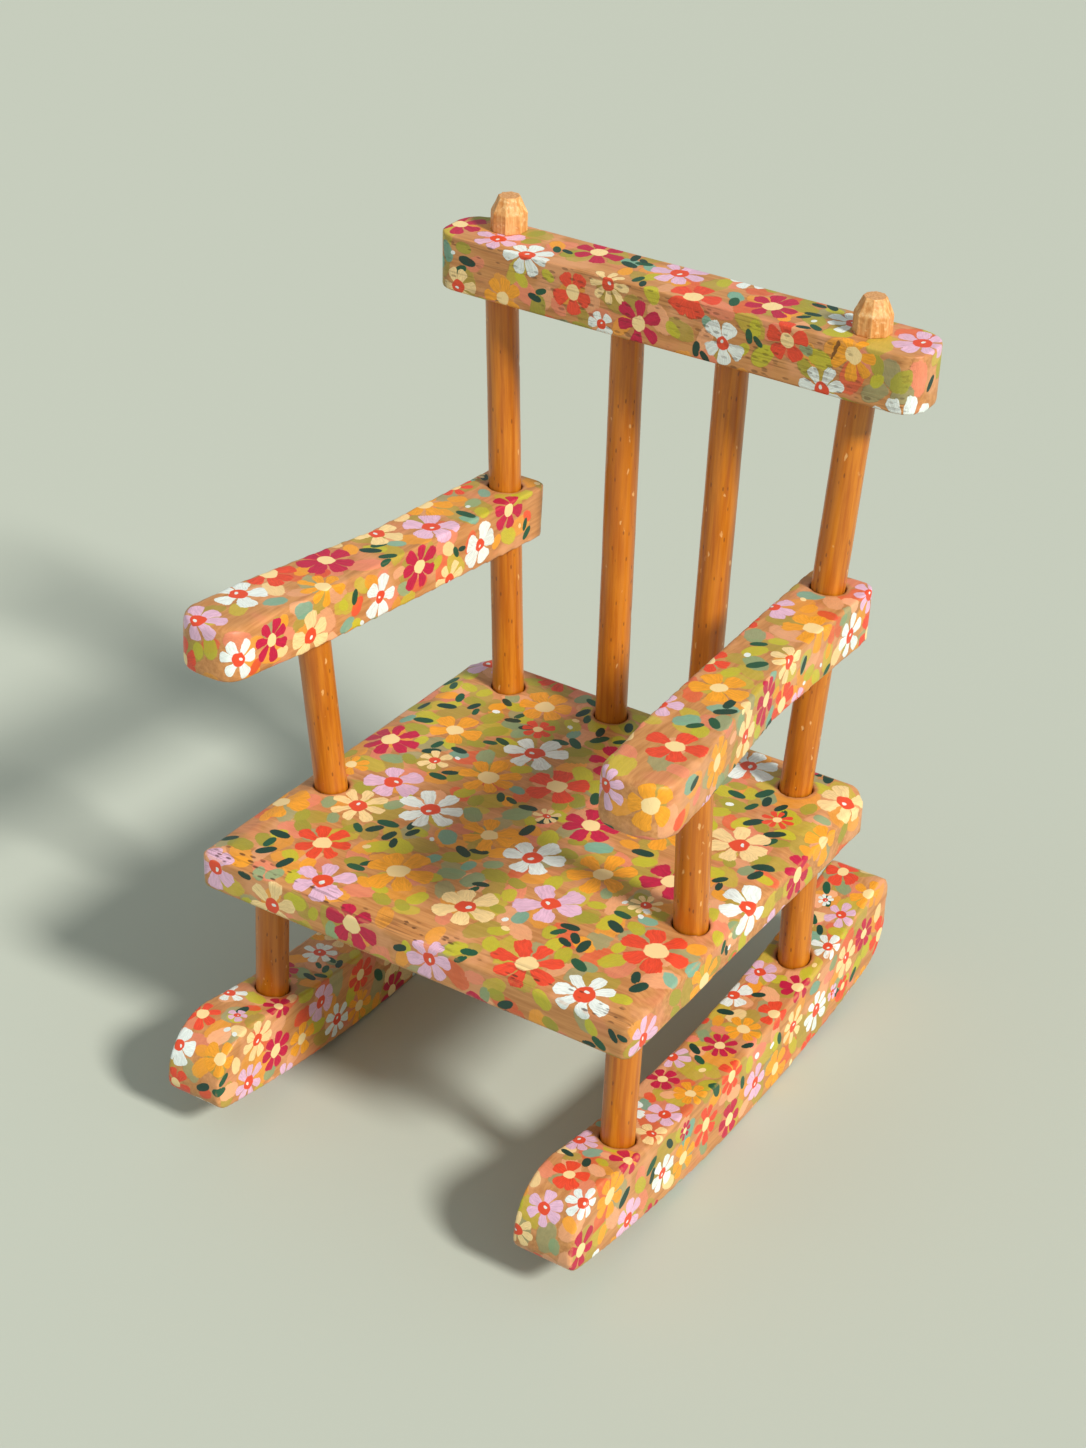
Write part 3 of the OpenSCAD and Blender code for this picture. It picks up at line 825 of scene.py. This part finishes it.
def rod(name, low, high, radius, seed):
    """A dowel that was turned and sanded by hand: a little uneven, with eased ends and a few dents."""
    around, ring_step, ease = 48, 0.9 * MM, 0.5 * MM
    length = np.linalg.norm(high - low)
    count = max(8, int(length / ring_step))
    body = np.linspace(ease, length - ease, count)
    along = np.concatenate([[0, 0.35 * ease], body, [length - 0.35 * ease, length]])
    inset = np.zeros(len(along))
    inset[[0, -1]], inset[[1, -2]] = ease, 0.3 * ease
    turns = np.linspace(0, 2 * math.pi, around, endpoint=False)
    t, a = np.meshgrid(along, turns, indexing="ij")
    own = np.stack([np.cos(a), np.sin(a), t], -1).reshape(-1, 3)
    local = own * (radius, radius, 1)
    uneven = 0.05 * MM * waves(local, 9 * MM, seed) - 0.05 * MM
    dents = -0.12 * MM * step_up(waves(local * (1, 1, 0.45), 1.6 * MM, seed + 3), 0.52, 0.75)
    size = radius - np.repeat(inset, around) + uneven + dents
    local = own * np.stack([size, size, np.ones(len(size))], -1)
    upright = np.array(Vector(high - low).to_track_quat("Z", "Y").to_matrix())
    points = low + local @ upright.T
    faces = []
    for i in range(len(along) - 1):
        for j in range(around):
            k = (j + 1) % around
            faces.append((i * around + j, i * around + k, (i + 1) * around + k, (i + 1) * around + j))
    last = (len(along) - 1) * around
    faces.append(tuple(reversed(range(around))))
    faces.append(tuple(range(last, last + around)))
    mesh = bpy.data.meshes.new(name)
    mesh.from_pydata(points.tolist(), [], faces)
    smooth_shade(mesh)
    layer = mesh.attributes.new("own_place", "FLOAT_VECTOR", "POINT")
    layer.data.foreach_set("vector", (local + (seed * 0.11, seed * 0.07, 0)).astype(np.float32).ravel())
    return new_object(name, mesh)


def dowels(material):
    """The legs, posts and spindles."""
    for seed, node in enumerate(DOWELS, 1):
        low, high = LINES[node]
        piece = rod(f"varnished_{node}", low, high, DOWEL_R, seed)
        finish_piece(piece, node, material)


def finials(material):
    """The whittled pegs, with the small cuts of a knife."""
    for seed, side in enumerate(SIDES, 1):
        node = f"finial_{side}"
        piece = even_mesh(node, f"whittled_{node}", 0.14 * MM)
        mesh = piece.data
        co = coordinates(mesh)
        cuts = -0.1 * MM * np.abs(waves(co, 1.2 * MM, seed))
        put_coordinates(mesh, co + normals_of(mesh) * cuts[:, None])
        note(mesh, "end_grain", step_up(normals_of(mesh)[:, 2], 0.84, 0.95))
        finish_piece(piece, node, material)


# ---------------------------------------------------------------- stage

def floor():
    """A plain pale floor that reaches out of every view."""
    mesh = bpy.data.meshes.new("floor")
    half = 30.0
    corners = [(-half, -half, 0), (half, -half, 0), (half, half, 0), (-half, half, 0)]
    mesh.from_pydata(corners, [], [(0, 1, 2, 3)])
    material, _, shader = new_material("pale_floor")
    shader.inputs["Base Color"].default_value = FLOOR
    shader.inputs["Roughness"].default_value = 0.9
    mesh.materials.append(material)
    new_object("floor", mesh)


def towards(azimuth, elevation):
    """The way from the chair to a light or camera. Azimuth 0 is in front and 90 is on the right."""
    a, e = math.radians(azimuth), math.radians(elevation)
    return Vector((math.sin(a) * math.cos(e), -math.cos(a) * math.cos(e), math.sin(e)))


def area_light(name, azimuth, elevation, distance, size, power, tint):
    """A square soft light that points at the chair."""
    way = towards(azimuth, elevation)
    lamp = bpy.data.lights.new(name, "AREA")
    lamp.size, lamp.energy, lamp.color = size, power, tint
    light = bpy.data.objects.new(name, lamp)
    bpy.context.scene.collection.objects.link(light)
    light.location = CENTRE + way * distance
    light.rotation_euler = (-way).to_track_quat("-Z", "Y").to_euler()


def lights():
    """A low warm sun from the right and a little in front, and soft light from all round."""
    lamp = bpy.data.lights.new("key", "SUN")
    lamp.energy, lamp.angle, lamp.color = 3.6, math.radians(10), (1.0, 0.94, 0.86)
    key = bpy.data.objects.new("key", lamp)
    bpy.context.scene.collection.objects.link(key)
    key.rotation_euler = (-towards(78, 39)).to_track_quat("-Z", "Y").to_euler()
    area_light("fill", -40, 35, distance=1.4, size=1.0, power=1.2, tint=(0.92, 0.96, 1.0))
    world = bpy.data.worlds.new("studio")
    world.use_nodes = True
    sky = world.node_tree.nodes["Background"].inputs
    sky["Color"].default_value, sky["Strength"].default_value = SKY, 0.56
    bpy.context.scene.world = world


def camera():
    """A view from the front right and above, a little rolled."""
    azimuth, elevation, distance, roll = 32.98, 32.77, 0.5905, math.radians(0.4)
    back = towards(azimuth, elevation)
    turned = (-back).to_track_quat("-Z", "Y").to_matrix() @ Matrix.Rotation(roll, 3, "Z")
    data = bpy.data.cameras.new("camera")
    data.lens, data.sensor_width = 68.8, 36.0
    view = bpy.data.objects.new("camera", data)
    bpy.context.scene.collection.objects.link(view)
    aim = CENTRE + Vector((0.1 * MM, -1.0 * MM, -1.3 * MM))
    view.matrix_world = Matrix.Translation(aim + back * distance) @ turned.to_4x4()
    bpy.context.scene.camera = view


CENTRE = (cad_box[0] + cad_box[1]) / 2
camera()
lights()
floor()
daisy = daisy_group()
layers = [
    ("under", dab_group("under_dab", UNDER_DABS, 0.5), 0.6),
    ("dabs", dab_group("dab", DABS, 0.45), 0.9),
    ("leaves", dab_group("leaf", [MOSS, PINE], 0.24), 1.0),
    ("between", daisy, 1.0),
    ("flowers", daisy, 1.0),
    ("dots", dab_group("dot", [SNOW, SNOW, STRAW], 0.3), 1.0),
]
ACROSS = (60.0, 900.0, 900.0)   # how the wood's lines are stretched in a board that lies along X
ALONG = (900.0, 60.0, 900.0)    # and in one that lies along Y
seat(painted_wood("painted_seat_board", ACROSS, layers, 0.55))
crest_rail(painted_wood("painted_rail_board", ACROSS, layers, 0.95))
side_layers = list(layers)
side_layers[1] = ("dabs", dab_group("side_dab", SIDE_DABS, 0.5), 0.85)
side_boards = painted_wood("painted_side_boards", ALONG, side_layers, 0.55)
for chair_side in SIDES:
    armrest(chair_side, side_boards)
    rocker(chair_side, side_boards)
dowels(varnished_beech())
finials(bare_beech())
bpy.context.scene.view_settings.view_transform = "Standard"
